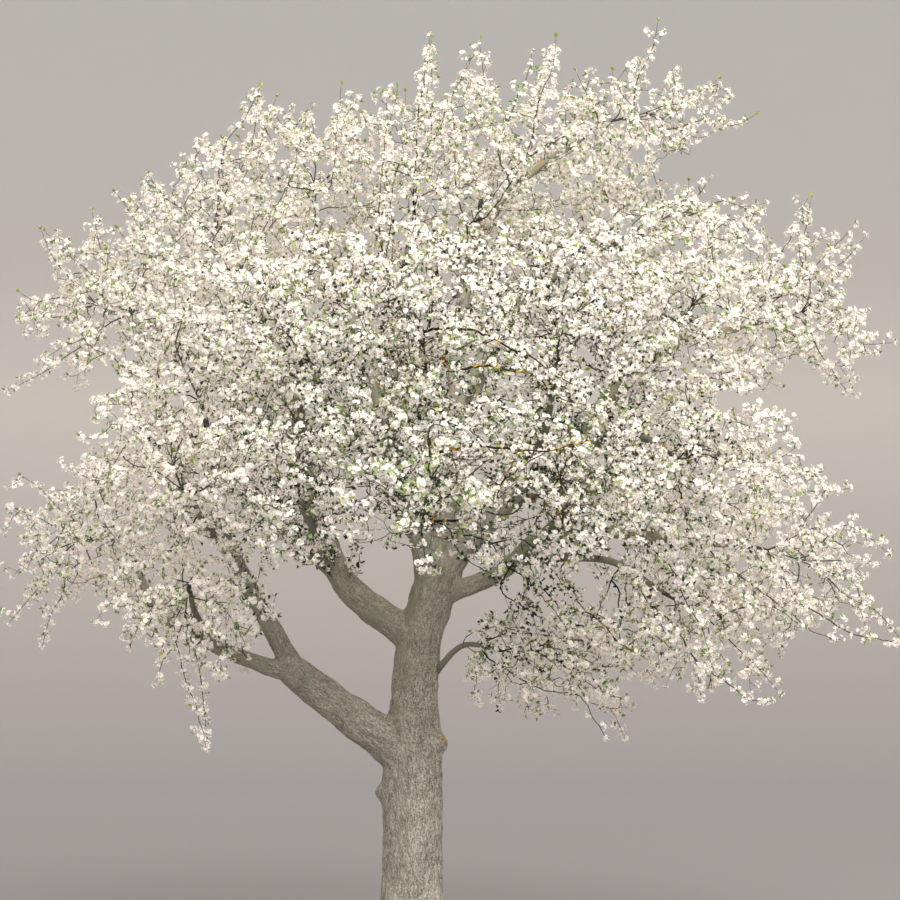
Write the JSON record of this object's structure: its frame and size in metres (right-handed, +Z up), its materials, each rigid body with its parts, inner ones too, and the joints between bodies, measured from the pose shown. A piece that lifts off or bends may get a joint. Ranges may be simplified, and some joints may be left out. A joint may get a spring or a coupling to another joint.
{
  "type": "apple tree",
  "caption": "Old standard apple tree in full blossom: a stout bark trunk with a root flare, rising and weeping boughs, and creamy white flowers with a few young leaves",
  "frame": {"origin": "middle of the trunk's foot, on the flat cut at ground level", "axes": "+Z straight up, -Y the front of the tree, +X to the right as seen from the front"},
  "size_m": [7.99, 6.674, 8.43],
  "materials": {
    "trunk_bark": "rough grey-brown bark with fine upright fissures and olive and orange lichen",
    "branch_bark": "dark grey young bark, matte, with orange lichen here and there",
    "blossom": "creamy white petals, matte and soft, with fresh green young leaves among them"
  },
  "bodies": {
    "root": {"blossom_back_centre": "blossom", "blossom_back_left_high": "blossom", "blossom_back_left_low": "blossom", "blossom_back_right_high": "blossom", "blossom_back_right_low": "blossom", "blossom_centre_left": "blossom", "blossom_centre_left_low": "blossom", "blossom_centre_right": "blossom", "blossom_centre_right_low": "blossom", "blossom_front": "blossom", "blossom_front_low": "blossom", "blossom_left_arm": "blossom", "blossom_left_hanging": "blossom", "blossom_left_low": "blossom", "blossom_left_low_arm": "blossom", "blossom_left_mid": "blossom", "blossom_right_arm": "blossom", "blossom_right_drooping": "blossom", "blossom_right_hanging": "blossom", "blossom_right_inner": "blossom", "blossom_right_low_arm": "blossom", "blossom_right_mid": "blossom", "blossom_right_shoulder": "blossom", "blossom_top_centre": "blossom", "blossom_top_centre_left": "blossom", "blossom_top_left": "blossom", "blossom_top_right": "blossom", "blossom_top_right_arm": "blossom", "bough_back_centre": "trunk_bark", "bough_centre_leader": "trunk_bark", "bough_centre_left_leader": "trunk_bark", "bough_left_arm": "trunk_bark", "bough_left_low": "trunk_bark", "bough_left_outer": "trunk_bark", "bough_left_rising": "trunk_bark", "bough_left_upper": "trunk_bark", "bough_right_leader": "trunk_bark", "bough_right_low": "trunk_bark", "bough_right_upper": "trunk_bark", "bough_top_right": "trunk_bark", "branch_back_left_high": "branch_bark", "branch_back_left_low": "branch_bark", "branch_back_right_high": "branch_bark", "branch_back_right_low": "branch_bark", "branch_centre_left": "branch_bark", "branch_centre_left_low": "branch_bark", "branch_centre_right": "branch_bark", "branch_centre_right_low": "branch_bark", "branch_front": "branch_bark", "branch_front_low": "branch_bark", "branch_left_hanging": "branch_bark", "branch_left_inner": "branch_bark", "branch_low_right": "branch_bark", "branch_right_drooping": "branch_bark", "branch_right_inner": "branch_bark", "branch_right_mid": "branch_bark", "branch_right_shoulder": "branch_bark", "trunk": "trunk_bark"}
  },
  "joints": []
}
